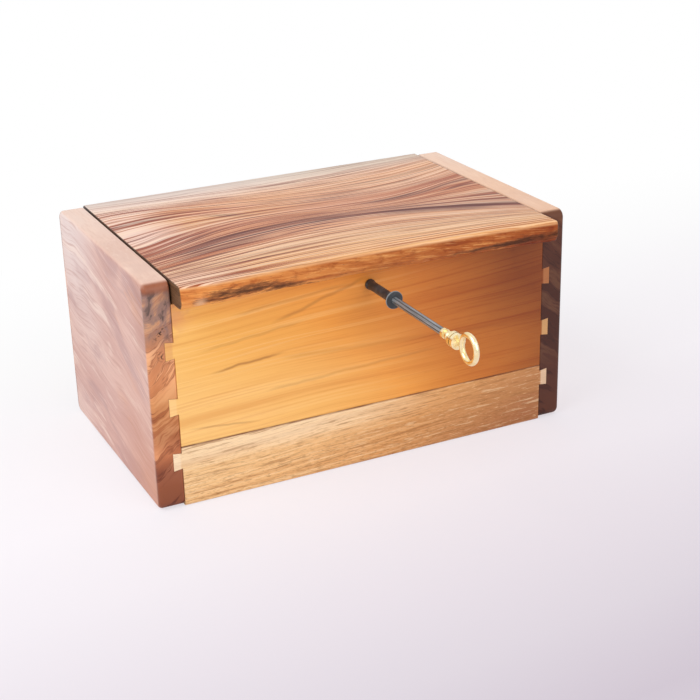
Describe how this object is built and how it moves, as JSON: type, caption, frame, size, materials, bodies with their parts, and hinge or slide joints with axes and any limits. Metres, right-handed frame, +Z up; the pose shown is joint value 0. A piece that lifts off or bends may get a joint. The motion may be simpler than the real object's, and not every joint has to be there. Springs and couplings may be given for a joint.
{
  "type": "wind-up music box",
  "caption": "Small solid wood music box with a lifting live-edge lid, a clockwork comb movement inside its front, and a key that winds it.",
  "frame": {"origin": "middle of the base, on the surface the box stands on", "axes": "+X to the right along the front, +Y from the front (where the key goes in) to the back, +Z up"},
  "size_m": [0.254, 0.2655, 0.129],
  "materials": {
    "left_panel_wood": "satin oiled wood, pinkish brown",
    "right_panel_wood": "satin oiled wood, walnut brown",
    "upper_board_wood": "satin oiled wood, orange brown",
    "lower_board_wood": "satin oiled wood, cream tan",
    "lid_wood": "satin oiled live-edge wood with purple-brown grain",
    "inside_wood": "plain oiled wood",
    "felt": "dark red felt",
    "blackened_steel": "satin black",
    "key_steel": "blue-grey drawn steel",
    "brass": "polished and lacquered",
    "steel": "bright steel",
    "spring_steel": "blued spring steel",
    "cast_plate": "die cast, matt silver",
    "screw_steel": "zinc plated",
    "fly_sheet": "thin bright sheet"
  },
  "bodies": {
    "case": {"left_end_panel": "left_panel_wood", "right_end_panel": "right_panel_wood", "front_upper_board": "upper_board_wood", "front_lower_board": "lower_board_wood", "back_upper_board": "upper_board_wood", "back_lower_board": "lower_board_wood", "bottom_panel": "inside_wood", "bottom_screws": "screw_steel", "storage_lining": "felt", "movement_partition": "inside_wood", "lid_hinge_pins": "brass", "bedplate": "cast_plate", "bedplate_screws": "screw_steel", "click_stud": "steel", "left_bracket": "steel", "right_bracket": "steel", "bracket_screws": "screw_steel", "comb": "steel", "comb_bar": "cast_plate", "comb_screws": "screw_steel", "governor_frame": "brass", "governor_screws": "screw_steel", "lever_post": "steel"},
    "lid": {"lid": "lid_wood"},
    "winding": {"winding_barrel": "blackened_steel", "winding_arbor": "steel", "ratchet_wheel": "steel"},
    "key": {"key_shank": "key_steel", "key_bow": "brass"},
    "spring_housing": {"spring_housing": "brass", "housing_cover": "brass", "mainspring": "spring_steel"},
    "cylinder": {"music_cylinder": "brass", "cylinder_arbor": "steel", "drive_pinion": "steel", "great_gear": "brass"},
    "governor": {"governor_arbor": "steel", "worm_wheel": "brass"},
    "fly": {"worm": "steel", "fly": "fly_sheet"},
    "click": {"click": "steel", "click_spring": "steel"},
    "stop_lever": {"stop_lever": "steel"}
  },
  "joints": [
    {"name": "lid_hinge", "type": "hinge", "parent": "case", "child": "lid", "pos_m": [0, 0.06925, 0.12275], "axis": [-1, 0, 0], "range_deg": [0, 97]},
    {"name": "winding_turn", "type": "hinge", "parent": "case", "child": "winding", "pos_m": [0.0014, -0.0635, 0.1066], "axis": [0, 1, 0], "range_deg": [0, 1080]},
    {"name": "key_slide", "type": "slide", "parent": "winding", "child": "key", "axis": [0, 1, 0], "range_m": [-0.005, 0.025]},
    {"name": "cylinder_turn", "type": "hinge", "parent": "case", "child": "cylinder", "pos_m": [0.0014, -0.04733, 0.1066], "axis": [1, 0, 0], "continuous": true},
    {"name": "spring_housing_turn", "type": "hinge", "parent": "case", "child": "spring_housing", "pos_m": [0.0014, -0.0594, 0.1066], "axis": [0, 1, 0], "continuous": true},
    {"name": "governor_turn", "type": "hinge", "parent": "case", "child": "governor", "pos_m": [-0.037, -0.04733, 0.0986], "axis": [1, 0, 0], "continuous": true},
    {"name": "fly_turn", "type": "hinge", "parent": "case", "child": "fly", "pos_m": [-0.0376, -0.05323, 0.0986], "axis": [0, 0, 1], "continuous": true},
    {"name": "click_swing", "type": "hinge", "parent": "case", "child": "click", "pos_m": [0.00567, -0.0607, 0.09468], "axis": [0, -1, 0], "range_deg": [0, 10], "stiffness_Nm_per_rad": 0.0004, "springref_deg": -11.46},
    {"name": "stop_lever_swing", "type": "hinge", "parent": "case", "child": "stop_lever", "pos_m": [-0.0462, -0.05373, 0.0966], "axis": [0, -1, 0], "range_deg": [0, 12]}
  ],
  "couplings": [
    {"joint": "spring_housing_turn", "follows": "cylinder_turn", "ratio": -0.33333},
    {"joint": "governor_turn", "follows": "cylinder_turn", "ratio": -4},
    {"joint": "fly_turn", "follows": "cylinder_turn", "ratio": -96}
  ]
}
